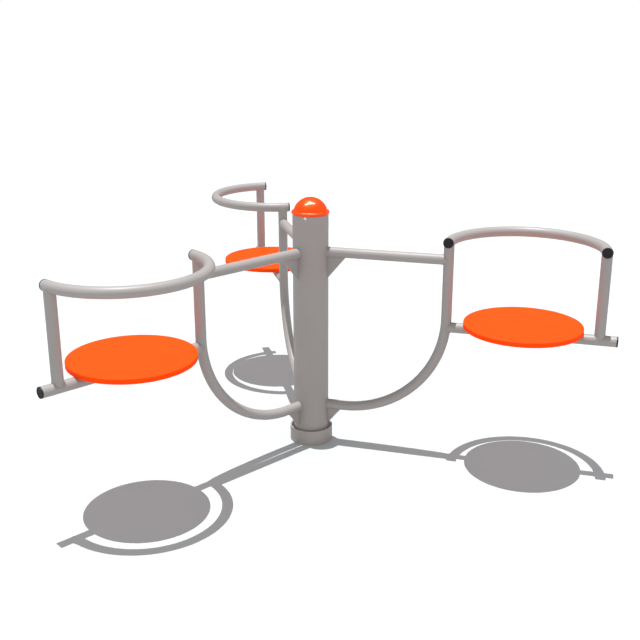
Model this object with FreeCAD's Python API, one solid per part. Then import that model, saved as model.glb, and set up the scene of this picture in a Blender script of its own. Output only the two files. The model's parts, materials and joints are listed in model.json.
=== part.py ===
"""Spinning-seat merry-go-round: a fixed base with a spindle, and a column that turns on it with three seats.

Units are millimetres. The origin is on the spindle's axis at ground level and +Z is up. Arm 1 points along +X
and arms 2 and 3 follow every 120 degrees, counter-clockwise from above. Each arm is drawn with its radius
along +X and its sideways (tangential) direction along +Y, and is then turned into place.
"""

import FreeCAD, Part
import math
import os

V = FreeCAD.Vector
UP = V(0, 0, 1)
ORIGIN = V(0, 0, 0)

# Arms
ARM_COUNT = 3
TUBE_R = 16.0
TUBE_WALL = 2.5
WELD_GAP = 0.05  # root gap of every weld, so that neighbours meet without sharing material

# Column
COLUMN_R = 57.0
COLUMN_WALL = 4.0
COLUMN_BOTTOM_Z = 16.0
COLUMN_TOP_Z = 765.5

# Base
PLATE_THICKNESS = 12.0
RING_R = 70.0
RING_WALL = 4.0
RING_HEIGHT = 50.0
RING_CHAMFER = 0.8
ANCHOR_COUNT = 4
ANCHOR_CIRCLE_R = 40.0
ANCHOR_HOLE_R = 5.5

# Arm frame: radii are from the spindle's axis
UPPER_ARM_Z = 647.0
LOWER_ARM_Z = 129.0
INNER_UPRIGHT_R = 440.0
OUTER_UPRIGHT_R = 900.0
BEND_R = 330.0
BAR_Z = 431.5
BAR_END_R = 949.0

# Hand rail: a half circle seen from above, cut off square just past the uprights
RAIL_Z = 704.0
RAIL_CENTRE_Y = -21.0
RAIL_END_Y = -19.2

# Gussets: triangles under both tubes of an arm, against the column
GUSSET_THICKNESS = 5.0
GUSSET_ROOT = 4.0  # how far the blank runs into the column and the tube before it is coped
UPPER_GUSSET = (58.0, 70.0)  # length along the tube, height down the column
LOWER_GUSSET = (44.0, 54.0)

# Seat and its fixings
SEAT_R = 180.0
SEAT_CENTRE_R = 674.0
SEAT_BOTTOM_Z = 448.0
SEAT_THICKNESS = 15.0
SEAT_EDGE_ROUND = 2.0
LUG_LENGTH = 110.0
LUG_REACH = 62.0
LUG_INNER_EDGE = 8.0
LUG_THICKNESS = 5.0
LUG_CORNER_R = 8.0
BOLT_SPACING = 76.0
BOLT_SIDE = 42.0
BOLT_R = 4.0
BOLT_CLEARANCE = 0.5
BOLT_DEPTH = 10.0
BOLT_HEAD_FLATS = 13.0
BOLT_HEAD_HEIGHT = 5.3
BOLT_FLANGE_R = 8.5
BOLT_FLANGE_HEIGHT = 1.5

# End plugs: a flange on the tube's end, and a ribbed shank inside it
PLUG_FLANGE_R = 16.0
PLUG_FLANGE_THICKNESS = 4.5
PLUG_FLANGE_ROUND = 1.5
PLUG_SHANK_R = 12.0
PLUG_SHANK_LENGTH = 10.0
PLUG_RIB_R = 13.2
PLUG_RIBS = 3
PLUG_RIB_THICKNESS = 1.0
PLUG_RIB_PITCH = 2.5
PLUG_FIRST_RIB = 1.5  # from the flange

# Dome cap on the column: the rim is a round bead on the column's end, and the dome's foot meets its top
CAP_RIM_R = 54.3
CAP_RIM_ROUND = 6.0
CAP_FOOT_R = 53.7
CAP_TOP_Z = 818.4
CAP_WALL = 3.0
CAP_SPIGOT_LENGTH = 16.0
CAP_SPIGOT_CLEARANCE = 0.1
SCREW_Z = 761.0
SCREW_FIRST_ANGLE = -90.0
SCREW_R = 2.5
SCREW_HOLE_CLEARANCE = 0.2
SCREW_LENGTH = 9.0
SCREW_HEAD_R = 4.8
SCREW_HEAD_HEIGHT = 2.6

# Bearings: bore radius, outer radius, width, ball circle radius, ball radius, number of balls
LOWER_BEARING = dict(bore_r=25.0, outer_r=45.0, width=20.0, pitch_r=35.0, ball_r=6.35, balls=10)
UPPER_BEARING = dict(bore_r=20.0, outer_r=40.0, width=18.0, pitch_r=30.0, ball_r=5.95, balls=9)
LOWER_BEARING_Z = 72.0
UPPER_BEARING_Z = 640.0
RACE_CHAMFER = 1.0
RACE_LAND = 0.6  # from the ball circle to each race's edge, in ball radii
BALL_CLEARANCE = 0.05
CAGE_HALF_THICKNESS = 1.2
CAGE_RIM = 1.4
POCKET_CLEARANCE = 0.1

# Housings welded inside the column, one round each bearing
HOUSING_SHOULDER = 6.0
HOUSING_SHOULDER_STEP = 3.6
LOWER_HOUSING_BELOW = 14.0
UPPER_HOUSING_ABOVE = 10.0
CIRCLIP_THICKNESS = 3.0
CIRCLIP_DEPTH = 2.0
CIRCLIP_PLAY = 0.1
CIRCLIP_WIDTH = 4.4
CIRCLIP_GAP = 12.0
CIRCLIP_LUG_R = 3.6
CIRCLIP_LUG_HOLE_R = 1.25
SEAL_THICKNESS = 8.0
SEAL_GAP_TO_CLIP = 1.0
SEAL_PLAY = 0.05
SEAL_LIP = 2.0

# Spindle, from the foot up, and its lock nut
SPINDLE_FOOT_R = 28.5
SPINDLE_SHAFT_R = 23.0
THREAD_R = 19.5
THREAD_LENGTH = 17.0
SPINDLE_CHAMFER = 1.5
WASHER_R = 26.0
WASHER_THICKNESS = 1.5
WASHER_TABS = 12
WASHER_TAB = (3.0, 4.0)  # length, width
NUT_R = 29.0
NUT_HEIGHT = 9.0
NUT_SLOTS = 4
NUT_SLOT = (2.5, 6.0)  # depth, width


# ---- shape helpers ----


def polar(radius, degrees, z):
    """The point at a radius and an angle about the spindle's axis."""
    angle = math.radians(degrees)
    return V(radius * math.cos(angle), radius * math.sin(angle), z)


def turned(shape, degrees):
    """A copy of the shape, turned about the spindle's axis."""
    copy = shape.copy()
    copy.rotate(ORIGIN, UP, degrees)
    return copy


def around(shape, count, first=0.0):
    """Copies of the shape, evenly spaced about the spindle's axis."""
    return [turned(shape, first + 360.0 * i / count) for i in range(count)]


def joined(shapes):
    """One solid made of touching or overlapping shapes."""
    first, *rest = shapes
    return first.multiFuse(rest).removeSplitter() if rest else first


def group(shapes):
    """Separate solids that share one file."""
    return Part.makeCompound([solid for shape in shapes for solid in shape.Solids])


def disc(radius, z, height, x=0.0, y=0.0):
    """A solid upright cylinder that starts at height z."""
    return Part.makeCylinder(radius, height, V(x, y, z), UP)


def ring(outer_r, inner_r, z, height):
    """An upright ring about the spindle's axis."""
    return disc(outer_r, z, height).cut(disc(inner_r, z, height))


def line(start, end):
    return Part.LineSegment(start, end).toShape()


def arc(start, middle, end):
    return Part.Arc(start, middle, end).toShape()


def profile_lines(points):
    """Straight edges in the XZ plane through (radius, z) points."""
    corners = [V(radius, 0, z) for radius, z in points]
    return [line(start, end) for start, end in zip(corners, corners[1:])]


def profile_arc(centre, arc_r, start, end):
    """An arc in the XZ plane about a (radius, z) centre, between two angles above the horizontal."""
    radius, z = centre
    angles = [math.radians(angle) for angle in (start, (start + end) / 2, end)]
    return arc(*[V(radius + arc_r * math.cos(angle), 0, z + arc_r * math.sin(angle)) for angle in angles])


def revolved(edges):
    """The solid turned from a closed profile in the XZ plane."""
    return Part.Face(Part.Wire(edges)).revolve(ORIGIN, UP, 360)


def lathe(points):
    """The solid turned from a closed profile of straight lines, given as (radius, z) points."""
    return revolved(profile_lines(points + points[:1]))


def section(centre, normal, outer_r, inner_r):
    """A round bar's or tube's cross-section."""
    face = Part.Face(Part.Wire(Part.makeCircle(outer_r, centre, normal)))
    if inner_r:
        face = face.cut(Part.Face(Part.Wire(Part.makeCircle(inner_r, centre, normal)))).Faces[0]
    return face


def swept(path, outer_r, inner_r=0.0):
    """A round bar or tube along a path of straight lines and arcs, as exact cylinders and tori."""
    pieces = []
    for edge in path:
        start = edge.valueAt(edge.FirstParameter)
        face = section(start, edge.tangentAt(edge.FirstParameter), outer_r, inner_r)
        if isinstance(edge.Curve, Part.Line):
            pieces.append(face.extrude(edge.valueAt(edge.LastParameter) - start))
        else:
            turn = math.degrees(edge.LastParameter - edge.FirstParameter)
            pieces.append(face.revolve(edge.Curve.Center, edge.Curve.Axis, turn))
    return joined(pieces)


def tube(path):
    """Arm tube along a path."""
    return swept(path, TUBE_R, TUBE_R - TUBE_WALL)


def envelope(path):
    """What an arm tube fills, with its weld gap: the tool that copes a neighbour against it."""
    return swept(path, TUBE_R + WELD_GAP)


# ---- paths of the arm's tubes, for arm 1 ----


def upper_arm_path():
    return [line(V(0, 0, UPPER_ARM_Z), V(INNER_UPRIGHT_R, 0, UPPER_ARM_Z))]


def lower_arm_path():
    """Out from the column, up through a wide bend, and on as the inner upright to the rail."""
    bend_start = V(INNER_UPRIGHT_R - BEND_R, 0, LOWER_ARM_Z)
    bend_end = V(INNER_UPRIGHT_R, 0, LOWER_ARM_Z + BEND_R)
    reach = BEND_R * math.sin(math.radians(45))
    bend_middle = V(bend_start.x + reach, 0, bend_end.z - reach)
    return [
        line(V(0, 0, LOWER_ARM_Z), bend_start),
        arc(bend_start, bend_middle, bend_end),
        line(bend_end, V(INNER_UPRIGHT_R, 0, RAIL_Z)),
    ]


def seat_bar_path():
    return [line(V(INNER_UPRIGHT_R, 0, BAR_Z), V(BAR_END_R, 0, BAR_Z))]


def outer_upright_path():
    return [line(V(OUTER_UPRIGHT_R, 0, BAR_Z), V(OUTER_UPRIGHT_R, 0, RAIL_Z))]


def rail_path():
    """Half circle over the seat, open towards -Y."""
    middle_r = (INNER_UPRIGHT_R + OUTER_UPRIGHT_R) / 2
    bow_r = (OUTER_UPRIGHT_R - INNER_UPRIGHT_R) / 2
    inner = V(INNER_UPRIGHT_R, RAIL_CENTRE_Y, RAIL_Z)
    outer = V(OUTER_UPRIGHT_R, RAIL_CENTRE_Y, RAIL_Z)
    return [arc(inner, V(middle_r, RAIL_CENTRE_Y + bow_r, RAIL_Z), outer)]


# ---- fixed base ----


def anchor_holes():
    return group(around(disc(ANCHOR_HOLE_R, 0, PLATE_THICKNESS, x=ANCHOR_CIRCLE_R), ANCHOR_COUNT, 45))


def base_plate():
    """Round plate inside the ring, with the anchor holes."""
    return disc(RING_R - RING_WALL, 0, PLATE_THICKNESS).cut(anchor_holes())


def base_ring():
    """Short upstand round the column's foot."""
    inner_r, bevel = RING_R - RING_WALL, RING_CHAMFER
    return lathe([
        (inner_r, 0), (RING_R, 0), (RING_R, RING_HEIGHT - bevel), (RING_R - bevel, RING_HEIGHT),
        (inner_r + bevel, RING_HEIGHT), (inner_r, RING_HEIGHT - bevel),
    ])


def spindle():
    """Stepped shaft welded to the plate: foot, lower journal, shaft, upper journal and thread."""
    lower_top = LOWER_BEARING_Z + LOWER_BEARING["width"]
    upper_top = UPPER_BEARING_Z + UPPER_BEARING["width"]
    end = upper_top + THREAD_LENGTH
    return lathe([
        (0, PLATE_THICKNESS), (SPINDLE_FOOT_R, PLATE_THICKNESS), (SPINDLE_FOOT_R, LOWER_BEARING_Z),
        (LOWER_BEARING["bore_r"], LOWER_BEARING_Z), (LOWER_BEARING["bore_r"], lower_top),
        (SPINDLE_SHAFT_R, lower_top + SPINDLE_CHAMFER), (SPINDLE_SHAFT_R, UPPER_BEARING_Z),
        (UPPER_BEARING["bore_r"], UPPER_BEARING_Z), (UPPER_BEARING["bore_r"], upper_top),
        (THREAD_R, upper_top), (THREAD_R, end - SPINDLE_CHAMFER), (THREAD_R - SPINDLE_CHAMFER, end), (0, end),
    ])


def lock_washer():
    """Tab washer on the upper bearing's inner race."""
    z = UPPER_BEARING_Z + UPPER_BEARING["width"]
    length, width = WASHER_TAB
    tab = Part.makeBox(length + 1, width, WASHER_THICKNESS, V(WASHER_R - 1, -width / 2, z))
    return joined([ring(WASHER_R, THREAD_R, z, WASHER_THICKNESS)] + around(tab, WASHER_TABS))


def lock_nut():
    """Slotted round nut that holds the rotor down on the spindle."""
    z = UPPER_BEARING_Z + UPPER_BEARING["width"] + WASHER_THICKNESS
    depth, width = NUT_SLOT
    slot = Part.makeBox(depth + 1, width, NUT_HEIGHT, V(NUT_R - depth, -width / 2, z))
    return ring(NUT_R, THREAD_R, z, NUT_HEIGHT).cut(group(around(slot, NUT_SLOTS)))


# ---- bearings ----


def race(inner_r, outer_r, z, bearing):
    """One race: a ring with bevelled edges and the ball groove."""
    bevel, top = RACE_CHAMFER, z + bearing["width"]
    blank = lathe([
        (inner_r + bevel, z), (outer_r - bevel, z), (outer_r, z + bevel), (outer_r, top - bevel),
        (outer_r - bevel, top), (inner_r + bevel, top), (inner_r, top - bevel), (inner_r, z + bevel),
    ])
    middle = V(0, 0, z + bearing["width"] / 2)
    return blank.cut(Part.makeTorus(bearing["pitch_r"], bearing["ball_r"] + BALL_CLEARANCE, middle, UP))


def ball_centres(bearing, z):
    middle = z + bearing["width"] / 2
    return [polar(bearing["pitch_r"], 360.0 * i / bearing["balls"], middle) for i in range(bearing["balls"])]


def balls(bearing, z):
    return group(Part.makeSphere(bearing["ball_r"], centre) for centre in ball_centres(bearing, z))


def cage(bearing, z):
    """Band with a round pocket for each ball."""
    half_height = bearing["ball_r"] + CAGE_RIM
    middle, pitch_r = z + bearing["width"] / 2, bearing["pitch_r"]
    outer_r, inner_r = pitch_r + CAGE_HALF_THICKNESS, pitch_r - CAGE_HALF_THICKNESS
    band = ring(outer_r, inner_r, middle - half_height, 2 * half_height)
    pocket_r = bearing["ball_r"] + POCKET_CLEARANCE
    pocket = Part.makeCylinder(pocket_r, outer_r, V(inner_r / 2, 0, middle), V(1, 0, 0))
    return band.cut(group(around(pocket, bearing["balls"])))


def bearing_nodes(name, bearing, z):
    """The four pieces of a deep-groove ball bearing whose lower face is at height z."""
    land = RACE_LAND * bearing["ball_r"]
    return {
        f"{name}_inner_race": race(bearing["bore_r"], bearing["pitch_r"] - land, z, bearing),
        f"{name}_outer_race": race(bearing["pitch_r"] + land, bearing["outer_r"], z, bearing),
        f"{name}_balls": balls(bearing, z),
        f"{name}_cage": cage(bearing, z),
    }


# ---- turning column ----


def screw_spots(shape):
    """The shape repeated at the cap's screws, of which there is one between each two arms."""
    return around(shape, ARM_COUNT, SCREW_FIRST_ANGLE)


def screw_hole(radius):
    """Tool for the three screw holes through the column's wall and the cap's spigot."""
    hole = Part.makeCylinder(radius, 2 * SCREW_LENGTH, V(COLUMN_R - SCREW_LENGTH, 0, SCREW_Z), V(1, 0, 0))
    return group(screw_spots(hole))


def column_tube():
    wall = ring(COLUMN_R, COLUMN_R - COLUMN_WALL, COLUMN_BOTTOM_Z, COLUMN_TOP_Z - COLUMN_BOTTOM_Z)
    return wall.cut(screw_hole(SCREW_R + SCREW_HOLE_CLEARANCE))


def lower_housing():
    """Ring that carries the lower bearing against its top shoulder, with a clip groove under it."""
    seat_r, top = LOWER_BEARING["outer_r"], LOWER_BEARING_Z + LOWER_BEARING["width"]
    outer_r, bottom = COLUMN_R - COLUMN_WALL, LOWER_BEARING_Z - LOWER_HOUSING_BELOW
    clip_z = LOWER_BEARING_Z - CIRCLIP_THICKNESS
    shoulder_r = seat_r - HOUSING_SHOULDER_STEP
    groove_r = seat_r + CIRCLIP_DEPTH
    return lathe([
        (seat_r, bottom), (outer_r, bottom), (outer_r, top + HOUSING_SHOULDER),
        (shoulder_r, top + HOUSING_SHOULDER), (shoulder_r, top), (seat_r, top),
        (seat_r, LOWER_BEARING_Z), (groove_r, LOWER_BEARING_Z), (groove_r, clip_z), (seat_r, clip_z),
    ])


def upper_housing():
    """Ring that carries the upper bearing on its bottom shoulder, with a clip groove above it."""
    seat_r, top = UPPER_BEARING["outer_r"], UPPER_BEARING_Z + UPPER_BEARING["width"]
    outer_r, bottom = COLUMN_R - COLUMN_WALL, UPPER_BEARING_Z - HOUSING_SHOULDER
    shoulder_r = seat_r - HOUSING_SHOULDER_STEP
    groove_r = seat_r + CIRCLIP_DEPTH
    return lathe([
        (shoulder_r, bottom), (outer_r, bottom), (outer_r, top + UPPER_HOUSING_ABOVE),
        (seat_r, top + UPPER_HOUSING_ABOVE), (seat_r, top + CIRCLIP_THICKNESS),
        (groove_r, top + CIRCLIP_THICKNESS), (groove_r, top), (seat_r, top),
        (seat_r, UPPER_BEARING_Z), (shoulder_r, UPPER_BEARING_Z),
    ])


def circlip(seat_r, z):
    """Internal retaining ring: an open ring in the housing's groove, with two eyes at its gap."""
    outer_r = seat_r + CIRCLIP_DEPTH - CIRCLIP_PLAY
    inner_r = outer_r - CIRCLIP_WIDTH
    clip = ring(outer_r, inner_r, z, CIRCLIP_THICKNESS)
    gap = Part.makeBox(outer_r, CIRCLIP_GAP, CIRCLIP_THICKNESS, V(0, -CIRCLIP_GAP / 2, z))
    eye_x = inner_r - CIRCLIP_LUG_R / 2
    eye_y = CIRCLIP_GAP / 2 + CIRCLIP_LUG_R
    eyes = [disc(CIRCLIP_LUG_R, z, CIRCLIP_THICKNESS, eye_x, side * eye_y) for side in (-1, 1)]
    holes = [disc(CIRCLIP_LUG_HOLE_R, z, CIRCLIP_THICKNESS, eye_x, side * eye_y) for side in (-1, 1)]
    return joined([clip.cut(gap)] + eyes).cut(group(holes))


def lower_seal():
    """Rubber lip seal below the lower bearing, running on the spindle's foot."""
    top = LOWER_BEARING_Z - CIRCLIP_THICKNESS - SEAL_GAP_TO_CLIP
    bottom = top - SEAL_THICKNESS
    outer_r, lip_r = LOWER_BEARING["outer_r"], SPINDLE_FOOT_R + SEAL_PLAY
    web_r = lip_r + 2 * SEAL_LIP
    return lathe([
        (web_r, top), (outer_r, top), (outer_r, bottom), (outer_r - 2 * SEAL_LIP, bottom),
        (outer_r - 2 * SEAL_LIP, top - SEAL_LIP), (web_r, top - SEAL_LIP),
        (lip_r + SEAL_LIP, bottom), (lip_r, bottom), (lip_r, bottom + SEAL_LIP),
    ])


def dome_cap():
    """Moulded cap: a domed shell with a round rim on the column's end and a spigot inside it."""
    rim_z = COLUMN_TOP_Z + CAP_RIM_ROUND
    rim_angle = math.degrees(math.acos((CAP_FOOT_R - CAP_RIM_R) / CAP_RIM_ROUND))
    foot_z = rim_z + CAP_RIM_ROUND * math.sin(math.radians(rim_angle))
    rise = CAP_TOP_Z - foot_z
    dome_r = (CAP_FOOT_R**2 + rise**2) / (2 * rise)
    dome_z = CAP_TOP_Z - dome_r
    foot_angle = math.degrees(math.acos(CAP_FOOT_R / dome_r))
    spigot_r = COLUMN_R - COLUMN_WALL - CAP_SPIGOT_CLEARANCE
    spigot_z = COLUMN_TOP_Z - CAP_SPIGOT_LENGTH
    bore_r, inner_r = spigot_r - CAP_WALL, dome_r - CAP_WALL
    bore_angle = math.degrees(math.acos(bore_r / inner_r))
    bore_top_z = dome_z + inner_r * math.sin(math.radians(bore_angle))
    spigot = [
        (CAP_RIM_R, COLUMN_TOP_Z), (spigot_r, COLUMN_TOP_Z), (spigot_r, spigot_z), (bore_r, spigot_z),
        (bore_r, bore_top_z),
    ]
    shell = revolved([
        profile_arc((0, dome_z), dome_r, 90, foot_angle),
        profile_arc((CAP_RIM_R, rim_z), CAP_RIM_ROUND, rim_angle, -90),
        *profile_lines(spigot),
        profile_arc((0, dome_z), inner_r, bore_angle, 90),
        *profile_lines([(0, CAP_TOP_Z - CAP_WALL), (0, CAP_TOP_Z)]),
    ])
    return shell.cut(screw_hole(SCREW_R))


def cap_screws():
    """Pan-head screws through the column's wall into the cap's spigot."""
    outward = V(1, 0, 0)
    shank = Part.makeCylinder(SCREW_R, SCREW_LENGTH, V(COLUMN_R - SCREW_LENGTH, 0, SCREW_Z), outward)
    round_r = (SCREW_HEAD_R**2 + SCREW_HEAD_HEIGHT**2) / (2 * SCREW_HEAD_HEIGHT)
    ball = Part.makeSphere(round_r, V(COLUMN_R + SCREW_HEAD_HEIGHT - round_r, 0, SCREW_Z))
    wall_inside = V(COLUMN_R - COLUMN_WALL, 0, SCREW_Z)
    blank = Part.makeCylinder(SCREW_HEAD_R, COLUMN_WALL + SCREW_HEAD_HEIGHT, wall_inside, outward)
    head = ball.common(blank).cut(disc(COLUMN_R, SCREW_Z - 2 * SCREW_HEAD_R, 4 * SCREW_HEAD_R))
    return group(screw_spots(joined([shank, head])))


# ---- one arm with its seat, drawn as arm 1 ----


def column_envelope():
    return disc(COLUMN_R + WELD_GAP, 0, COLUMN_TOP_Z)


def upper_arm():
    return tube(upper_arm_path()).cut(column_envelope()).cut(envelope(lower_arm_path()))


def lower_arm():
    return tube(lower_arm_path()).cut(column_envelope()).cut(envelope(rail_path()))


def seat_bar():
    """Tube under the seat, coped against the inner upright."""
    outside = Part.makeBox(INNER_UPRIGHT_R, 4 * TUBE_R, 4 * TUBE_R, V(0, -2 * TUBE_R, BAR_Z - 2 * TUBE_R))
    return tube(seat_bar_path()).cut(envelope(lower_arm_path())).cut(outside)


def outer_upright():
    return tube(outer_upright_path()).cut(envelope(seat_bar_path())).cut(envelope(rail_path()))


def hand_rail():
    """Bent tube on the two uprights, with both ends cut square."""
    corner = V(0, RAIL_END_Y - TUBE_R, RAIL_Z - 2 * TUBE_R)
    return tube(rail_path()).cut(Part.makeBox(2 * OUTER_UPRIGHT_R, TUBE_R, 4 * TUBE_R, corner))


def gusset(tube_z, size, tube_path):
    """Triangular plate between the column and the underside of one of the arm's tubes."""
    length, height = size
    corner_z = tube_z - TUBE_R
    root_r, tip_r = COLUMN_R - GUSSET_ROOT, COLUMN_R + length
    outline = [
        (root_r, corner_z - height - GUSSET_ROOT * height / length), (tip_r, corner_z),
        (tip_r, corner_z + GUSSET_ROOT), (root_r, corner_z + GUSSET_ROOT),
    ]
    face = Part.Face(Part.Wire(profile_lines(outline + outline[:1])))
    face.translate(V(0, -GUSSET_THICKNESS / 2, 0))
    plate = face.extrude(V(0, GUSSET_THICKNESS, 0))
    return plate.cut(column_envelope()).cut(envelope(tube_path))


def bolt_places():
    """Bolts of one seat, as (radius, side) places."""
    return [
        (SEAT_CENTRE_R + along * BOLT_SPACING / 2, side * BOLT_SIDE)
        for along in (-1, 1)
        for side in (-1, 1)
    ]


def seat_lugs():
    """Two flat plates welded to the bar's sides, which carry the seat and its bolts."""
    plates = []
    for side in (-1, 1):
        start = V(SEAT_CENTRE_R - LUG_LENGTH / 2, min(side * LUG_INNER_EDGE, side * LUG_REACH), 0)
        start.z = SEAT_BOTTOM_Z - LUG_THICKNESS
        plate = Part.makeBox(LUG_LENGTH, LUG_REACH - LUG_INNER_EDGE, LUG_THICKNESS, start)
        corners = [
            edge for edge in plate.Edges
            if abs(edge.tangentAt(0).z) > 0.5 and abs(abs(edge.CenterOfMass.y) - LUG_REACH) < 1
        ]
        plates.append(plate.makeFillet(LUG_CORNER_R, corners))
    holes = [disc(BOLT_R + BOLT_CLEARANCE, 0, SEAT_BOTTOM_Z, x, y) for x, y in bolt_places()]
    return group(plates).cut(envelope(seat_bar_path())).cut(group(holes))


def seat():
    """Flat round seat with rounded edges and blind bolt holes underneath."""
    panel = disc(SEAT_R, SEAT_BOTTOM_Z, SEAT_THICKNESS, SEAT_CENTRE_R)
    rims = [edge for edge in panel.Edges if isinstance(edge.Curve, Part.Circle)]
    panel = panel.makeFillet(SEAT_EDGE_ROUND, rims)
    return panel.cut(group([disc(BOLT_R, SEAT_BOTTOM_Z, BOLT_DEPTH, x, y) for x, y in bolt_places()]))


def seat_bolts():
    """Flanged hexagon bolts from below, through the lugs into the seat."""
    head_top = SEAT_BOTTOM_Z - LUG_THICKNESS
    corner_r = BOLT_HEAD_FLATS / math.sqrt(3)
    bolts = []
    for x, y in bolt_places():
        corners = [V(x, y, head_top - BOLT_HEAD_HEIGHT) + polar(corner_r, 60 * i, 0) for i in range(6)]
        head = Part.Face(Part.makePolygon(corners + corners[:1])).extrude(UP * BOLT_HEAD_HEIGHT)
        flange = disc(BOLT_FLANGE_R, head_top - BOLT_FLANGE_HEIGHT, BOLT_FLANGE_HEIGHT, x, y)
        shank = disc(BOLT_R, head_top, LUG_THICKNESS + BOLT_DEPTH, x, y)
        bolts.append(joined([shank, head, flange]))
    return group(bolts)


def plug(end, outward):
    """Plug of a tube whose end is centred on a point and faces outward: ribbed shank, then rounded flange."""
    profile = [(0, -PLUG_SHANK_LENGTH), (PLUG_SHANK_R, -PLUG_SHANK_LENGTH)]
    for i in reversed(range(PLUG_RIBS)):
        rib_top = -PLUG_FIRST_RIB - i * PLUG_RIB_PITCH
        rib_bottom = rib_top - PLUG_RIB_THICKNESS
        profile += [(PLUG_SHANK_R, rib_bottom), (PLUG_RIB_R, rib_bottom)]
        profile += [(PLUG_RIB_R, rib_top), (PLUG_SHANK_R, rib_top)]
    round_r, face_z = PLUG_FLANGE_ROUND, PLUG_FLANGE_THICKNESS
    profile += [(PLUG_SHANK_R, 0), (PLUG_FLANGE_R, 0), (PLUG_FLANGE_R, face_z - round_r)]
    body = revolved([
        *profile_lines(profile),
        profile_arc((PLUG_FLANGE_R - round_r, face_z - round_r), round_r, 0, 90),
        *profile_lines([(PLUG_FLANGE_R - round_r, face_z), (0, face_z), profile[0]]),
    ])
    body.Placement = FreeCAD.Placement(end, FreeCAD.Rotation(UP, outward))
    return body


def rail_plugs():
    ends = [V(x, RAIL_END_Y, RAIL_Z) for x in (INNER_UPRIGHT_R, OUTER_UPRIGHT_R)]
    return group([plug(end, V(0, -1, 0)) for end in ends])


def bar_plug():
    return plug(V(BAR_END_R, 0, BAR_Z), V(1, 0, 0))


ARM_PIECES = {
    "upper_arm": upper_arm,
    "lower_arm": lower_arm,
    "seat_bar": seat_bar,
    "outer_upright": outer_upright,
    "hand_rail": hand_rail,
    "upper_gusset": lambda: gusset(UPPER_ARM_Z, UPPER_GUSSET, upper_arm_path()),
    "lower_gusset": lambda: gusset(LOWER_ARM_Z, LOWER_GUSSET, lower_arm_path()),
    "seat_lugs": seat_lugs,
    "seat": seat,
    "seat_bolts": seat_bolts,
    "rail_plugs": rail_plugs,
    "bar_plug": bar_plug,
}


def build():
    """Every node of the object, by name."""
    nodes = {
        "base_plate": base_plate(),
        "base_ring": base_ring(),
        "spindle": spindle(),
        "lock_washer": lock_washer(),
        "lock_nut": lock_nut(),
        "column_tube": column_tube(),
        "lower_housing": lower_housing(),
        "upper_housing": upper_housing(),
        "lower_circlip": circlip(LOWER_BEARING["outer_r"], LOWER_BEARING_Z - CIRCLIP_THICKNESS),
        "upper_circlip": circlip(UPPER_BEARING["outer_r"], UPPER_BEARING_Z + UPPER_BEARING["width"]),
        "lower_seal": lower_seal(),
        "dome_cap": dome_cap(),
        "cap_screws": cap_screws(),
    }
    nodes.update(bearing_nodes("lower_bearing", LOWER_BEARING, LOWER_BEARING_Z))
    nodes.update(bearing_nodes("upper_bearing", UPPER_BEARING, UPPER_BEARING_Z))
    for name, make in ARM_PIECES.items():
        piece = make()
        for i in range(ARM_COUNT):
            nodes[f"{name}_{i + 1}"] = turned(piece, 360.0 * i / ARM_COUNT)
    return nodes


def main():
    os.makedirs("parts", exist_ok=True)
    for name, shape in build().items():
        shape.exportStep(f"parts/{name}.step")
        print(f"{name:28s} solids {len(shape.Solids)}  volume {shape.Volume:12.1f}  valid {shape.isValid()}")


main()
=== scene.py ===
"""Looks of the three-seat merry-go-round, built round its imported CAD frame. Lengths are in metres."""

import json
import math

import bpy
import numpy as np
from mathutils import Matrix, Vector


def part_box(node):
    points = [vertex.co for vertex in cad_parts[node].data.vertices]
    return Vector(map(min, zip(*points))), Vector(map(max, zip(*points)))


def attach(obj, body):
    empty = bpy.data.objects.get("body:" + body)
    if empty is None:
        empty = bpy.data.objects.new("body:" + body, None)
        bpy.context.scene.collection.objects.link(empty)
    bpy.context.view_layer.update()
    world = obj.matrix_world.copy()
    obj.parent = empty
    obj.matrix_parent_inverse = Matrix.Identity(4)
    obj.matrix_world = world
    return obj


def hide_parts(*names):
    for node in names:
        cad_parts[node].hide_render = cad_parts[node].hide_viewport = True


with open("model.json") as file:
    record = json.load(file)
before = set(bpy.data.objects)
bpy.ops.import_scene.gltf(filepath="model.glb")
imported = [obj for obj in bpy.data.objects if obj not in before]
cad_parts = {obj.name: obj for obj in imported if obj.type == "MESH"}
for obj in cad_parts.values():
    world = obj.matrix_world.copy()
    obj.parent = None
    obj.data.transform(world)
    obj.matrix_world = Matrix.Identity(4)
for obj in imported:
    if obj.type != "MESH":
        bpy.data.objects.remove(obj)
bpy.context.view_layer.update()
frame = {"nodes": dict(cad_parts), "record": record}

MM = 0.001
ARMS = (1, 2, 3)
TURN = 2 * math.pi / len(ARMS)
X, Y, Z = np.eye(3)

# ---- places and sizes, read from the frame; arm 1 lies along +X ----

COLUMN_LO, COLUMN_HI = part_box("column_tube")
CAP_LO, CAP_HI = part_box("dome_cap")
RING_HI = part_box("base_ring")[1]
UPPER_LO, UPPER_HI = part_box("upper_arm_1")
LOWER_LO, LOWER_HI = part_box("lower_arm_1")
BAR_LO, BAR_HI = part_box("seat_bar_1")
OUTER_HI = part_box("outer_upright_1")[1]
RAIL_LO, RAIL_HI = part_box("hand_rail_1")
SEAT_LO, SEAT_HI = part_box("seat_1")
SCREW_LO, SCREW_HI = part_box("cap_screws")
LUG_LO, LUG_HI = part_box("seat_lugs_1")
BOLT_LO, BOLT_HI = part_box("seat_bolts_1")
BAR_PLUG_LO, BAR_PLUG_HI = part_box("bar_plug_1")

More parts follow.
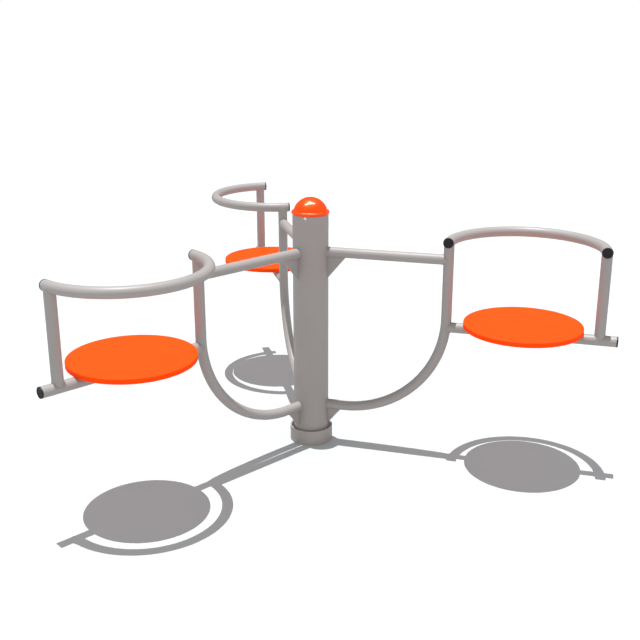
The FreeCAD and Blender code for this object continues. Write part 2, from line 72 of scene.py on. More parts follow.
COLUMN_R = COLUMN_HI.x
TUBE_R = (UPPER_HI.z - UPPER_LO.z) / 2
UPPER_Z = UPPER_LO.z + TUBE_R
LOWER_Z = LOWER_LO.z + TUBE_R
BAR_Z = BAR_LO.z + TUBE_R
RAIL_Z = (RAIL_LO.z + RAIL_HI.z) / 2
INNER_X = LOWER_HI.x - TUBE_R
OUTER_X = OUTER_HI.x - TUBE_R
RAIL_R = (OUTER_X - INNER_X) / 2
RAIL_X = (OUTER_X + INNER_X) / 2
RAIL_Y = RAIL_HI.y - TUBE_R - RAIL_R
SEAT_X = (SEAT_LO.x + SEAT_HI.x) / 2
SEAT_R = (SEAT_HI.x - SEAT_LO.x) / 2

# Wall thicknesses, radii and small edges that a box can't tell
TUBE_BORE_R = TUBE_R - 2.5 * MM
COLUMN_WALL = 4 * MM
RING_WALL = 4 * MM
BEND_R = 330 * MM
WELD_GAP = 0.05 * MM
EDGE = 0.6 * MM
RING_EDGE = 1.0 * MM
SEAT_EDGE = 2 * MM
TINY = 0.05 * MM  # radius of the last ring round a pole

# How finely the round shapes are divided
ROUND = 64  # points round a tube
BEND_STEPS = 48
RAIL_STEPS = 96
SADDLE_STEPS = 160
COLUMN_SEGMENTS = 180
CAP_SEGMENTS = 160
SEAT_SEGMENTS = 240
PLUG_SEGMENTS = 96
BOLT_SEGMENTS = 96
SCREW_SEGMENTS = 72


# ---- mesh building: a part is a pair of points and faces ----


def skin(rings, loop):
    """A closed surface over rings of equal length; loop joins the last ring to the first."""
    rings = np.asarray(rings, float)
    count, around = rings.shape[:2]
    faces = []
    for i in range(count if loop else count - 1):
        a, b = i * around, (i + 1) % count * around
        faces += [(a + k, a + (k + 1) % around, b + (k + 1) % around, b + k) for k in range(around)]
    if not loop:
        faces.append(tuple(reversed(range(around))))
        faces.append(tuple(range((count - 1) * around, count * around)))
    return rings.reshape(-1, 3), faces


def combined(parts):
    """One part made of several."""
    points, faces = [], []
    for more_points, more_faces in parts:
        start = len(points)
        points.extend(map(tuple, more_points))
        faces += [tuple(start + i for i in face) for face in more_faces]
    return np.array(points), faces


def turned(part, angle):
    """A part turned about the spindle's axis."""
    points, faces = part
    c, s = math.cos(angle), math.sin(angle)
    return np.asarray(points) @ np.array([[c, s, 0], [-s, c, 0], [0, 0, 1]]), faces


def placed(part, origin, axis=(0, 0, 1)):
    """A part drawn about +Z from the origin, moved to a point with its Z along an axis."""
    points, faces = part
    turn = np.array(Vector((0, 0, 1)).rotation_difference(Vector(axis)).to_matrix())
    return np.asarray(points) @ turn.T + np.array(origin), faces


def outward(part):
    """The part with every face looking outward."""
    points, faces = part
    volume = 0.0
    for face in faces:
        corners = np.asarray([points[i] for i in face])
        fan = np.cross(corners[1:-1] - corners[0], corners[2:] - corners[0])
        volume += float((fan @ corners[0]).sum())
    return part if volume > 0 else (points, [tuple(reversed(face)) for face in faces])


def show(name, part, slot, body, nodes, sharp=None):
    """Adds a piece that rides on its body and stands for its CAD nodes. Edges sharper than the angle sharp stay
    crisp; without one the flat faces keep their shading up to their softened edges."""
    points, faces = outward(part)
    mesh = bpy.data.meshes.new(name)
    mesh.from_pydata([tuple(p) for p in points], [], faces)
    mesh.shade_smooth()
    mesh.materials.append(MATERIALS[slot])
    obj = bpy.data.objects.new(name, mesh)
    bpy.context.scene.collection.objects.link(obj)
    if sharp:
        mesh.set_sharp_from_angle(angle=math.radians(sharp))
    else:
        obj.modifiers.new("even_normals", "WEIGHTED_NORMAL").weight = 90
    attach(obj, body)
    if nodes:
        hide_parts(*nodes)


def rounded(corners, radii, steps=5):
    """A closed outline of corners, each softened by an arc of its radius; a radius of 0 leaves it sharp."""
    if not isinstance(radii, (list, tuple)):
        radii = [radii] * len(corners)
    outline = []
    for i, radius in enumerate(radii):
        corner = np.array(corners[i], float)
        if not radius:
            outline.append(tuple(corner))
            continue
        ways = [np.array(corners[j], float) - corner for j in (i - 1, (i + 1) % len(corners))]
        before, after = [way / np.linalg.norm(way) for way in ways]
        half = math.acos(np.clip(before @ after, -1, 1)) / 2
        middle = (before + after) / np.linalg.norm(before + after)
        centre = corner + middle * radius / math.sin(half)
        side = before - middle * (before @ middle)
        side /= np.linalg.norm(side)
        sweep = math.pi / 2 - half
        for t in np.linspace(-sweep, sweep, steps):
            outline.append(tuple(centre - radius * (middle * math.cos(t) + side * math.sin(t))))
    return outline


def arc_points(centre, radius, start, end, steps):
    """Points of an arc about a (radius, z) centre, between two angles in radians."""
    angles = np.linspace(start, end, steps)
    return [(centre[0] + radius * math.cos(a), centre[1] + radius * math.sin(a)) for a in angles]


def hexagon(angles, flats):
    """Radius of a hexagon at each angle, for a width across its flats."""
    return flats / 2 / np.cos((angles + math.pi / 6) % (math.pi / 3) - math.pi / 6)


def lathe(outline, segments, loop=False, flats=None):
    """A part turned about Z from (r, z) points. flats[i], if given, limits ring i to a hexagon of that width."""
    angles = np.arange(segments) * 2 * math.pi / segments
    rings = []
    for i, (r, z) in enumerate(outline):
        radius = np.full(segments, r)
        if flats and flats[i]:
            radius = np.minimum(radius, hexagon(angles, flats[i]))
        rings.append(np.stack([radius * np.cos(angles), radius * np.sin(angles), np.full(segments, z)], 1))
    return skin(rings, loop)


# ---- tubes: a path is a list of stations, each a centre with its side and up directions ----


def tube_rings(path, radius):
    angles = np.arange(ROUND) * 2 * math.pi / ROUND
    return [
        np.array(centre) + radius * (np.outer(np.cos(angles), side) + np.outer(np.sin(angles), up))
        for centre, side, up in path
    ]


def cut_end(station, away):
    """Rings over the end face of a tube cut square, from the outer wall to the bore, with softened edges."""
    centre, side, up = station
    reach = 4 * EDGE
    corners = [(TUBE_R, -reach), (TUBE_R, 0), (TUBE_BORE_R, 0), (TUBE_BORE_R, -reach)]
    rings = []
    for r, back in rounded(corners, [0, EDGE, EDGE, 0]):
        rings += tube_rings([(np.array(centre) + np.array(away) * back, side, up)], r)
    return rings


def tube(path, start_trim=None, end_trim=None, start_away=None, end_away=None):
    """A closed tube wall. A trim moves an end on to the neighbour's surface; an end without one is cut square
    and faces the given way."""
    outer, inner = tube_rings(path, TUBE_R), tube_rings(path, TUBE_BORE_R)
    start_rings, end_rings = [], []
    if end_trim:
        outer[-1], inner[-1] = end_trim(outer[-1]), end_trim(inner[-1])
    else:
        end_rings = cut_end(path[-1], end_away)
        outer, inner = outer[:-1], inner[:-1]
    if start_trim:
        outer[0], inner[0] = start_trim(outer[0]), start_trim(inner[0])
    else:
        start_rings = cut_end(path[0], start_away)[::-1]
        outer, inner = outer[1:], inner[1:]
    return skin(outer + end_rings + inner[::-1] + start_rings, loop=True)


def straight(start, end, side, up):
    """A straight path; its middle stations keep long faces from twisting."""
    start, end = np.array(start, float), np.array(end, float)
    return [(start + (end - start) * t, side, up) for t in (0.0, 0.25, 0.5, 0.75, 1.0)]


def trim_to(axis, surface):
    """A trim that replaces one coordinate of each point by surface(points)."""
    def trim(points):
        points = points.copy()
        points[:, axis] = surface(points)
        return points
    return trim


def half_chord(radius, offset):
    return np.sqrt(np.maximum((radius + WELD_GAP)**2 - offset**2, 0))


def inner_upright_x(z):
    """The bent tube's axis at a height: its upright, or the last of its bend below that."""
    below = np.maximum(LOWER_Z + BEND_R - z, 0)
    return INNER_X - BEND_R + np.sqrt(BEND_R**2 - below**2)


def rail_offset(points):
    """Distance, seen from above, from each point to the hand rail's centre line."""
    return np.abs(np.hypot(points[:, 0] - RAIL_X, points[:, 1] - RAIL_Y) - RAIL_R)


on_column = trim_to(0, lambda p: half_chord(COLUMN_R, p[:, 1]))
on_upright_inside = trim_to(0, lambda p: INNER_X - half_chord(TUBE_R, p[:, 1]))
on_upright_outside = trim_to(0, lambda p: inner_upright_x(p[:, 2]) + half_chord(TUBE_R, p[:, 1]))
on_bar = trim_to(2, lambda p: BAR_Z + half_chord(TUBE_R, p[:, 1]))
under_rail = trim_to(2, lambda p: RAIL_Z - half_chord(TUBE_R, rail_offset(p)))


def upper_arm():
    path = straight((COLUMN_R, 0, UPPER_Z), (INNER_X - TUBE_R, 0, UPPER_Z), Y, Z)
    return tube(path, on_column, on_upright_inside)


def lower_arm():
    """Out from the column, round the bend and up to the rail."""
    bend_x = INNER_X - BEND_R
    path = [((COLUMN_R, 0, LOWER_Z), Y, Z)]
    for angle in np.linspace(0, math.pi / 2, BEND_STEPS):
        s, c = math.sin(angle), math.cos(angle)
        path.append(((bend_x + BEND_R * s, 0, LOWER_Z + BEND_R * (1 - c)), Y, np.array((-s, 0, c))))
    path += straight((INNER_X, 0, LOWER_Z + BEND_R), (INNER_X, 0, RAIL_Z - TUBE_R), Y, -X)[1:]
    return tube(path, on_column, under_rail)


def seat_bar():
    path = straight((INNER_X + TUBE_R, 0, BAR_Z), (BAR_HI.x, 0, BAR_Z), Y, Z)
    return tube(path, on_upright_outside, end_away=X)


def outer_upright():
    path = straight((OUTER_X, 0, BAR_Z + TUBE_R), (OUTER_X, 0, RAIL_Z - TUBE_R), Y, -X)
    return tube(path, on_bar, under_rail)


def hand_rail():
    """Half circle over the seat, cut square at both ends."""
    first = math.pi - math.asin((RAIL_LO.y - RAIL_Y) / RAIL_R)
    path = []
    for angle in np.linspace(first, math.pi - first, RAIL_STEPS):
        away = np.array((math.cos(angle), math.sin(angle), 0))
        path.append((np.array((RAIL_X, RAIL_Y, RAIL_Z)) + RAIL_R * away, away, Z))
    path[0] = (path[0][0], -X, Z)
    path[-1] = (path[-1][0], X, Z)
    return tube(path, start_away=-Y, end_away=-Y)


# ---- weld beads ----

BEAD_R = 1.3 * MM
BEAD_RIPPLE = 0.1 * MM
BEAD_PITCH = 3.0 * MM
BEAD_STEP = 0.8 * MM
BEAD_ROUND = 10


def bead(points, normals, closed=True):
    """A bead of weld along a joint, with low ripples. normals are any directions across it."""
    points, normals = np.asarray(points, float), np.asarray(normals, float)
    if closed:
        tangents = np.roll(points, -1, 0) - np.roll(points, 1, 0)
        steps = np.linalg.norm(points - np.roll(points, 1, 0), axis=1)
        steps[0] = 0.0
    else:
        tangents = np.gradient(points, axis=0)
        steps = np.concatenate([[0], np.linalg.norm(np.diff(points, axis=0), axis=1)])
    tangents /= np.linalg.norm(tangents, axis=1)[:, None]
    normals = normals - (normals * tangents).sum(1)[:, None] * tangents
    normals /= np.linalg.norm(normals, axis=1)[:, None]
    sides = np.cross(tangents, normals)
    along = np.cumsum(steps)
    waves = round(along[-1] / BEAD_PITCH)
    radius = BEAD_R + BEAD_RIPPLE * np.cos(2 * math.pi * waves * along / along[-1])
    angles = np.arange(BEAD_ROUND) * 2 * math.pi / BEAD_ROUND
    rings = [
        points[i] + radius[i] * (np.outer(np.cos(angles), normals[i]) + np.outer(np.sin(angles), sides[i]))
        for i in range(len(points))
    ]
    return skin(rings, loop=closed)


def spaced(corners):
    """Points along straight runs, one bead step apart."""
    points = [np.array(corners[0], float)]
    for start, end in zip(corners, corners[1:]):
        start, end = np.array(start, float), np.array(end, float)
        count = max(2, round(np.linalg.norm(end - start) / BEAD_STEP))
        points += [start + (end - start) * i / count for i in range(1, count + 1)]
    return np.array(points)


def saddle_bead(centre, side, up, trim, away):
    """Bead round a tube where it meets its neighbour."""
    angles = np.arange(SADDLE_STEPS) * 2 * math.pi / SADDLE_STEPS
    across = np.outer(np.cos(angles), side) + np.outer(np.sin(angles), up)
    return bead(trim(np.array(centre) + TUBE_R * across), across + away)


def gusset_beads(node, tube_z):
    """Beads on both faces of a gusset, along the tube and down the column."""
    low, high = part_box(node)
    half = high.y
    under = tube_z - half_chord(TUBE_R, half)
    beads = []
    for y in (-half, half):
        wall_x = half_chord(COLUMN_R, y)
        points = spaced([(high.x - BEAD_R, y, under), (wall_x, y, under), (wall_x, y, low.z + BEAD_R)])
        beads.append(bead(points, np.tile(Y, (len(points), 1)), closed=False))
    return beads


def lug_beads():
    """Beads between the bar and the two seat lugs, on their undersides."""
    y = half_chord(TUBE_R, LUG_LO.z - BAR_Z)
    beads = []
    for side in (-y, y):
        points = spaced([(LUG_LO.x + BEAD_R, side, LUG_LO.z), (LUG_HI.x - BEAD_R, side, LUG_LO.z)])
        beads.append(bead(points, np.tile(Y, (len(points), 1)), closed=False))
    return beads


def arm_welds():
    joints = [
        ((COLUMN_R, 0, UPPER_Z), Y, Z, on_column, X),
        ((COLUMN_R, 0, LOWER_Z), Y, Z, on_column, X),
        ((INNER_X, 0, UPPER_Z), Y, Z, on_upright_inside, -X),
        ((INNER_X, 0, BAR_Z), Y, Z, on_upright_outside, X),
        ((OUTER_X, 0, BAR_Z), Y, -X, on_bar, Z),
        ((OUTER_X, 0, RAIL_Z), Y, -X, under_rail, -Z),
        ((INNER_X, 0, RAIL_Z), Y, -X, under_rail, -Z),
    ]
    beads = [saddle_bead(*joint) for joint in joints]
    beads += gusset_beads("upper_gusset_1", UPPER_Z) + gusset_beads("lower_gusset_1", LOWER_Z) + lug_beads()
    return combined(beads)


# ---- plates, seats, plugs and fasteners ----


def gusset(node, tube_z):
    """Triangular plate under a tube, with softened edges; its root runs just into the tube and the column."""
    low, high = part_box(node)
    root, half, soft = 0.5 * MM, high.y, 0.5 * MM
    under = tube_z - TUBE_R
    corners = np.array([(COLUMN_R - root, low.z), (high.x, under), (COLUMN_R - root, under + root)])
    centre = corners.mean(0)
    rings = []
    levels = [(-half, soft), (-half + 0.3 * soft, 0.3 * soft), (-half + soft, 0)]
    for y, inset in levels + [(-y, inset) for y, inset in reversed(levels)]:
        ways = np.array(rounded([tuple(c) for c in corners], 0.8 * MM, 4)) - centre
        ways *= 1 - inset / np.linalg.norm(ways, axis=1)[:, None]
        rings.append([(centre[0] + x, y, centre[1] + z) for x, z in ways])
    return skin(rings, loop=False)


def seat():
    """Flat round panel with rounded edges."""
    height = SEAT_HI.z - SEAT_LO.z
    corners = [(TINY, 0), (SEAT_R, 0), (SEAT_R, height), (TINY, height)]
    part = lathe(rounded(corners, [0, SEAT_EDGE, SEAT_EDGE, 0], 8), SEAT_SEGMENTS)
    return placed(part, (SEAT_X, 0, SEAT_LO.z))


PLUG_SHANK_R = 12 * MM
PLUG_RIB_R = 13.2 * MM
PLUG_RIBS = (-7.5 * MM, -5 * MM, -2.5 * MM)
PLUG_ROUND = 1.5 * MM
PLUG_FINE_ROUND = 0.2 * MM
PLUG_RECESS_R = 10.5 * MM
PLUG_RECESS_FLOOR_R = 10 * MM
PLUG_RECESS = 0.5 * MM


def plug(end, away):
    """Black end plug: ribbed shank, and a round-edged flange with a shallow recess in its face."""
    flange_r, flange_z = (BAR_PLUG_HI.z - BAR_PLUG_LO.z) / 2, BAR_PLUG_HI.x - BAR_HI.x
    shank_z, face_z = BAR_PLUG_LO.x - BAR_HI.x, flange_z - PLUG_RECESS
    corners = [(TINY, shank_z, 0), (PLUG_SHANK_R, shank_z, 0.5 * MM)]  # radius, height, rounding
    for rib_z in PLUG_RIBS:
        corners += [
            (PLUG_SHANK_R, rib_z, 0), (PLUG_RIB_R, rib_z, PLUG_FINE_ROUND),
            (PLUG_RIB_R, rib_z + MM, PLUG_FINE_ROUND), (PLUG_SHANK_R, rib_z + MM, 0),
        ]
    corners += [
        (PLUG_SHANK_R, 0, 0), (flange_r, 0, PLUG_FINE_ROUND), (flange_r, flange_z, PLUG_ROUND),
        (PLUG_RECESS_R, flange_z, PLUG_FINE_ROUND), (PLUG_RECESS_FLOOR_R, face_z, PLUG_FINE_ROUND), (TINY, face_z, 0),
    ]
    outline = rounded([(r, z) for r, z, _ in corners], [soft for _, _, soft in corners], 5)
    return placed(lathe(outline, PLUG_SEGMENTS), end, away)


BOLT_Y = 42 * MM  # from the bar's axis to a bolt
BOLT_FLATS = 13 * MM
BOLT_SHANK_R = 4 * MM


def seat_bolt(x, y):
    """Flanged hexagon bolt, seen from below: chamfered head, cone flange and a shank through the lug."""
    head_z, flats = BOLT_LO.z, BOLT_FLATS
    flange_z = LUG_LO.z
    flange_r = (BOLT_HI.y - BOLT_LO.y) / 2 - BOLT_Y
    rings = [
        (TINY, head_z + 0.3 * MM, 0), (3.2 * MM, head_z + 0.3 * MM, 0), (3.6 * MM, head_z, 0),
        (6.0 * MM, head_z, 0), (6.5 * MM, head_z + 0.2 * MM, flats), (7.6 * MM, head_z + 0.8 * MM, flats),
        (8 * MM, flange_z - 1.9 * MM, flats), (flange_r - 0.5 * MM, flange_z - 1.3 * MM, 0),
        (flange_r, flange_z - 0.9 * MM, 0), (flange_r, flange_z, 0), (BOLT_SHANK_R, flange_z, 0),
        (BOLT_SHANK_R, SEAT_LO.z, 0), (TINY, SEAT_LO.z, 0),
    ]
    part = lathe([(r, z) for r, z, _ in rings], BOLT_SEGMENTS, flats=[f for _, _, f in rings])
    return placed(part, (x, y, 0))


def seat_bolts():
    """The four bolts of one seat; their places follow from the node's box."""
    flange_r = 8.5 * MM
    reach = (BOLT_HI.x - BOLT_LO.x) / 2 - flange_r
    middle = (BOLT_HI.x + BOLT_LO.x) / 2
    return combined([seat_bolt(middle + a * reach, b * BOLT_Y) for a in (-1, 1) for b in (-1, 1)])


def cap_screw():
    """Button-head screw with a hexagon socket, at the first of its three places."""
    z = (SCREW_LO.z + SCREW_HI.z) / 2
    head_r, height, buried = (SCREW_HI.z - SCREW_LO.z) / 2, 2.6 * MM, 0.4 * MM
    ball_r = (head_r**2 + height**2) / (2 * height)
    socket, socket_r = 3 * MM, 2.1 * MM
    foot_angle, top_angle = math.asin((ball_r - height) / ball_r), math.acos(socket_r / ball_r)
    dome = arc_points((0, height - ball_r), ball_r, foot_angle, top_angle, 12)
    top = dome[-1][1]
    rings = [(TINY, -buried, 0), (head_r - 0.3 * MM, -buried, 0)] + [(r, h, 0) for r, h in dome]
    rings += [(1.9 * MM, top - 0.15 * MM, socket), (1.9 * MM, top - 1.4 * MM, socket), (TINY, top - 1.9 * MM, 0)]
    part = lathe([(r, h) for r, h, _ in rings], SCREW_SEGMENTS, flats=[f for _, _, f in rings])
    return placed(part, (0, -COLUMN_R, z), -Y)


# ---- column, base ring and cap ----


def column():
    corners = [
        (COLUMN_R - COLUMN_WALL, COLUMN_LO.z), (COLUMN_R, COLUMN_LO.z), (COLUMN_R, COLUMN_HI.z),
        (COLUMN_R - COLUMN_WALL, COLUMN_HI.z),
    ]
    return lathe(rounded(corners, EDGE), COLUMN_SEGMENTS, loop=True)


SEAM_ANGLE = math.radians(-100)
SEAM_WIDTH = 1.0 * MM
SEAM_DEPTH = 0.9 * MM
NOTCH_WIDTH = 1.6 * MM
NOTCH_DEPTH = 1.4 * MM
SEAM_SPAN = math.radians(4)  # the stretch of the ring that is divided finely
SEAM_STEPS, RING_STEPS = 33, 178


def base_ring():
    """Rolled ring with its butt seam: a fine groove down the outside and a small notch in the top edge."""
    outer_r, inner_r, top = RING_HI.x, RING_HI.x - RING_WALL, RING_HI.z
    corners = [(inner_r, 0), (outer_r, 0), (outer_r, top), (inner_r, top)]
    outline = rounded(corners, [0, 0.3 * MM, RING_EDGE, RING_EDGE], 6)
    fine = np.linspace(-SEAM_SPAN / 2, SEAM_SPAN / 2, SEAM_STEPS)
    coarse = np.linspace(SEAM_SPAN / 2, 2 * math.pi - SEAM_SPAN / 2, RING_STEPS)[1:-1]
    angles = np.concatenate([fine, coarse])
    offset = np.where(angles < math.pi, angles, angles - 2 * math.pi) * outer_r
    seam = np.exp(-(offset / SEAM_WIDTH)**2)
    notch = np.exp(-(offset / NOTCH_WIDTH)**4)
    rings = []
    for r, z in outline:
        radius = r - (SEAM_DEPTH * seam if r > (outer_r + inner_r) / 2 else 0 * seam)
        height = z - (NOTCH_DEPTH * notch if z > top / 2 else 0 * notch)
        turn = angles + SEAM_ANGLE
        rings.append(np.stack([radius * np.cos(turn), radius * np.sin(turn), height], 1))
    return skin(rings, loop=True)


def cap():
    """Dome, round rim and spigot as one closed shell; the dome's foot blends into the rim."""
    rim_round, foot_r, wall, spigot_play = 6 * MM, 53.7 * MM, 3 * MM, 0.1 * MM
    rim_r, rim_z = CAP_HI.x - rim_round, COLUMN_HI.z + rim_round
    rim_angle = math.acos((foot_r - rim_r) / rim_round)
    foot_z = rim_z + rim_round * math.sin(rim_angle)
    rise = CAP_HI.z - foot_z
    dome_r = (foot_r**2 + rise**2) / (2 * rise)
    dome_z = CAP_HI.z - dome_r
    spigot_r = COLUMN_R - COLUMN_WALL - spigot_play
    bore_r, inner_r = spigot_r - wall, dome_r - wall
    outline = arc_points((0, dome_z), dome_r, math.pi / 2 - TINY / dome_r, math.acos(foot_r / dome_r), 48)
    outline += arc_points((rim_r, rim_z), rim_round, rim_angle, -math.pi / 2, 36)[1:]
    outline += [(spigot_r, COLUMN_HI.z), (spigot_r, CAP_LO.z), (bore_r, CAP_LO.z)]
    outline += arc_points((0, dome_z), inner_r, math.acos(bore_r / inner_r), math.pi / 2 - TINY / inner_r, 24)
    return lathe(outline, CAP_SEGMENTS)


# ---- materials ----

POWDER_TONE = (0.296, 0.277, 0.268)
SEAT_TONE = (0.98, 0.060, 0.0035)
CAP_TONE = (0.97, 0.054, 0.0025)
CAP_SHEEN_TONE = (1.0, 0.7, 0.3)
PLUG_TONE = (0.0105, 0.0105, 0.011)
RUBBER_TONE = (0.016, 0.016, 0.016)
STEEL_TONE = (0.56, 0.56, 0.57)
ZINC_TONE = (0.84, 0.84, 0.85)
# painted light: pale tone for the ring's inner wall, lifting the shaded gap round the column
PAINTED_GAP_LIGHT_TONE = (0.90, 0.84, 0.80)


class Nodes:
    """A material's node tree, with short calls to add and join nodes."""

    def __init__(self, name):
        self.material = bpy.data.materials.new(name)
        self.material.use_nodes = True
        self.tree = self.material.node_tree
        self.shader = self.tree.nodes["Principled BSDF"]
        self.place = self.add("ShaderNodeTexCoord").outputs["Object"]

    def add(self, kind, **values):
        node = self.tree.nodes.new(kind)
        for key, value in values.items():
            if key in node.inputs:
                node.inputs[key].default_value = value
            else:
                setattr(node, key, value)
        return node

    def join(self, output, node, socket):
        self.tree.links.new(output, node.inputs[socket])

    def noise(self, scale, detail=3.0):
        node = self.add("ShaderNodeTexNoise", Scale=scale, Detail=detail)
        self.join(self.place, node, "Vector")
        return node.outputs["Fac"]

    def cells(self, scale):
        node = self.add("ShaderNodeTexVoronoi", Scale=scale, feature="SMOOTH_F1")
        self.join(self.place, node, "Vector")
        return node.outputs["Distance"]

    def spread(self, value, low, high):
        """Maps the middle of a noise's range on to low to high."""
        node = self.add("ShaderNodeMapRange")
        self.join(value, node, "Value")
        for key, number in (("From Min", 0.3), ("From Max", 0.7), ("To Min", low), ("To Max", high)):
            node.inputs[key].default_value = number
        return node.outputs["Result"]

    def toned(self, scale, colour, shift):
        """Gives the base colour slow shifts of tone."""
        node = self.add("ShaderNodeMix", data_type="RGBA")
        self.join(self.spread(self.noise(scale), 0, 1), node, "Factor")
        for socket, factor in (("A", 1 - shift), ("B", 1 + shift)):
            node.inputs[socket].default_value = (*[min(1.0, c * factor) for c in colour], 1)
        self.join(node.outputs["Result"], self.shader, "Base Color")

    def gloss(self, scale, low, high, level=0.5):
        """Roughness that shifts between two values, and the specular level."""
        self.join(self.spread(self.noise(scale), low, high), self.shader, "Roughness")
        self.shader.inputs["Specular IOR Level"].default_value = level

    def bumps(self, *layers):
        """Bump layers, each a height output with its depth in metres."""
        under = None
        for height, depth in layers:
            node = self.add("ShaderNodeBump", Strength=1.0, Distance=depth)
            self.join(height, node, "Height")
            if under:
                self.join(under, node, "Normal")
            under = node.outputs["Normal"]
        self.join(under, self.shader, "Normal")


def powder_coat(name="powder_grey"):
    """Grey powder coat: semi-gloss, with a fine orange peel and slight shifts of tone and gloss."""
    n = Nodes(name)
    n.toned(7.0, POWDER_TONE, 0.02)
    n.gloss(45.0, 0.40, 0.47, level=0.38)
    n.bumps((n.noise(420.0, 2), 0.03 * MM), (n.noise(1500.0, 2), 0.006 * MM))
    return n


def ring_coat_with_painted_light():
    """The powder coat on the base ring, with painted light: the wall inside is painted a pale tone so the shaded gap
    round the column reads lighter.
    """
    n = powder_coat("powder_with_painted_gap_light")
    flat = n.add("ShaderNodeVectorMath", operation="MULTIPLY")
    n.join(n.place, flat, 0)
    flat.inputs[1].default_value = (1, 1, 0)
    radius = n.add("ShaderNodeVectorMath", operation="LENGTH")
    n.join(flat.outputs[0], radius, 0)
    inner_r = RING_HI.x - RING_WALL
    outside = n.add("ShaderNodeMapRange")
    n.join(radius.outputs["Value"], outside, "Value")
    outside.inputs["From Min"].default_value = inner_r + 0.1 * MM
    outside.inputs["From Max"].default_value = inner_r + 0.8 * MM
    tone = n.add("ShaderNodeMix", data_type="RGBA")
    n.join(outside.outputs["Result"], tone, "Factor")
    # painted light: inside the ring's inner radius the colour turns pale, lifting the shaded gap
    tone.inputs["A"].default_value = (*PAINTED_GAP_LIGHT_TONE, 1)
    n.join(n.shader.inputs["Base Color"].links[0].from_socket, tone, "B")
    n.join(tone.outputs["Result"], n.shader, "Base Color")
    return n.material


def seat_plastic():
    """Orange panel: satin, with a fine pebbled grain and faint rubbed patches."""
    n = Nodes("seat_orange")
    n.toned(9.0, SEAT_TONE, 0.02)
    n.gloss(22.0, 0.48, 0.58, level=0.02)
    n.bumps((n.cells(480.0), 0.05 * MM), (n.noise(1400.0, 2), 0.01 * MM))
    return n.material


def cap_plastic():
    """Orange moulded cap: glossy, with very slight waves in the surface."""
    n = Nodes("cap_orange")
    n.toned(20.0, CAP_TONE, 0.015)
    n.gloss(60.0, 0.22, 0.28, level=0.35)
    n.shader.inputs["Specular Tint"].default_value = (*CAP_SHEEN_TONE, 1)
    n.bumps((n.noise(60.0, 2), 0.03 * MM), (n.noise(900.0, 2), 0.002 * MM))
    n.shader.inputs["Coat Weight"].default_value = 0.45
    n.shader.inputs["Coat Roughness"].default_value = 0.05
    return n.material


def black_plastic():
    """Black moulded end plugs: dull, finely spark-eroded face."""
    n = Nodes("plug_black")
    n.toned(120.0, PLUG_TONE, 0.12)
    n.gloss(300.0, 0.5, 0.62, level=0.5)
    n.bumps((n.cells(1600.0), 0.02 * MM))
    return n.material


def metal(name, colour, rough, lines, metallic):
    """Bare or plated steel with fine turning lines."""
    n = Nodes(name)
    n.toned(200.0, colour, 0.05)
    n.shader.inputs["Metallic"].default_value = metallic
    n.gloss(400.0, rough - 0.05, rough + 0.06)
    wave = n.add("ShaderNodeTexWave", wave_type="RINGS", rings_direction="Z", Scale=lines, Distortion=0.6)
    n.join(n.place, wave, "Vector")
    n.bumps((wave.outputs["Fac"], 0.003 * MM))
    return n.material


def rubber():
    n = Nodes("seal_rubber")
    n.toned(150.0, RUBBER_TONE, 0.2)
    n.gloss(500.0, 0.65, 0.85)
    n.bumps((n.noise(900.0, 2), 0.02 * MM))
    return n.material


MATERIALS = {
    "powder_grey": powder_coat().material,
    "seat_orange": seat_plastic(),
    "cap_orange": cap_plastic(),
    "plug_black": black_plastic(),
    "machined_steel": metal("machined_steel", STEEL_TONE, 0.3, 900.0, 1.0),
    "zinc_fastener": metal("zinc_fastener", ZINC_TONE, 0.3, 1400.0, 0.3),
    "seal_rubber": rubber(),
}


def dress_frame():
    """Gives every CAD node the procedural material of its slot."""
    for row in frame["record"]["subparts"]:
        slots = frame["nodes"][row["node"]].data.materials
        slots.clear()
        slots.append(MATERIALS[row["material_slot"]])


# ---- the object ----


def build_column():
    show("column_skin", column(), "powder_grey", "rotor", ["column_tube"])
    show("base_ring_skin", base_ring(), "powder_grey", "base", ["base_ring"])
    # the ring's material has painted light on its inner wall
    bpy.data.objects["base_ring_skin"].data.materials[0] = ring_coat_with_painted_light()
    show("dome_cap_skin", cap(), "cap_orange", "rotor", ["dome_cap"], sharp=50)
    screws = combined([turned(cap_screw(), i * TURN) for i in range(len(ARMS))])
    show("cap_screw_heads", screws, "zinc_fastener", "rotor", ["cap_screws"], sharp=30)


TUBE_CRISP = 40  # edges of a tube sharper than this angle stay crisp
ARM_PARTS = {  # how a piece is made, its slot and its crisp angle
    "upper_arm": (upper_arm, "powder_grey", TUBE_CRISP),
    "lower_arm": (lower_arm, "powder_grey", TUBE_CRISP),
    "seat_bar": (seat_bar, "powder_grey", TUBE_CRISP),
    "outer_upright": (outer_upright, "powder_grey", TUBE_CRISP),
    "hand_rail": (hand_rail, "powder_grey", TUBE_CRISP),
    "upper_gusset": (lambda: gusset("upper_gusset_1", UPPER_Z), "powder_grey", None),
    "lower_gusset": (lambda: gusset("lower_gusset_1", LOWER_Z), "powder_grey", None),
    "seat": (seat, "seat_orange", None),
    "seat_bolts": (seat_bolts, "zinc_fastener", 25),
    "rail_plugs": (
        lambda: combined([plug((x, RAIL_LO.y, RAIL_Z), -Y) for x in (INNER_X, OUTER_X)]), "plug_black", 35),
    "bar_plug": (lambda: plug((BAR_HI.x, 0, BAR_Z), X), "plug_black", 35),
}


def build_arms():
    for name, (make, slot, sharp) in ARM_PARTS.items():
        part = make()
        for arm in ARMS:
            show(f"{name}_{arm}_skin", turned(part, (arm - 1) * TURN), slot, "rotor", [f"{name}_{arm}"], sharp)
    welds = arm_welds()
    for arm in ARMS:
        show(f"welds_{arm}", turned(welds, (arm - 1) * TURN), "powder_grey", "rotor", [], sharp=80)


# ---- studio ----

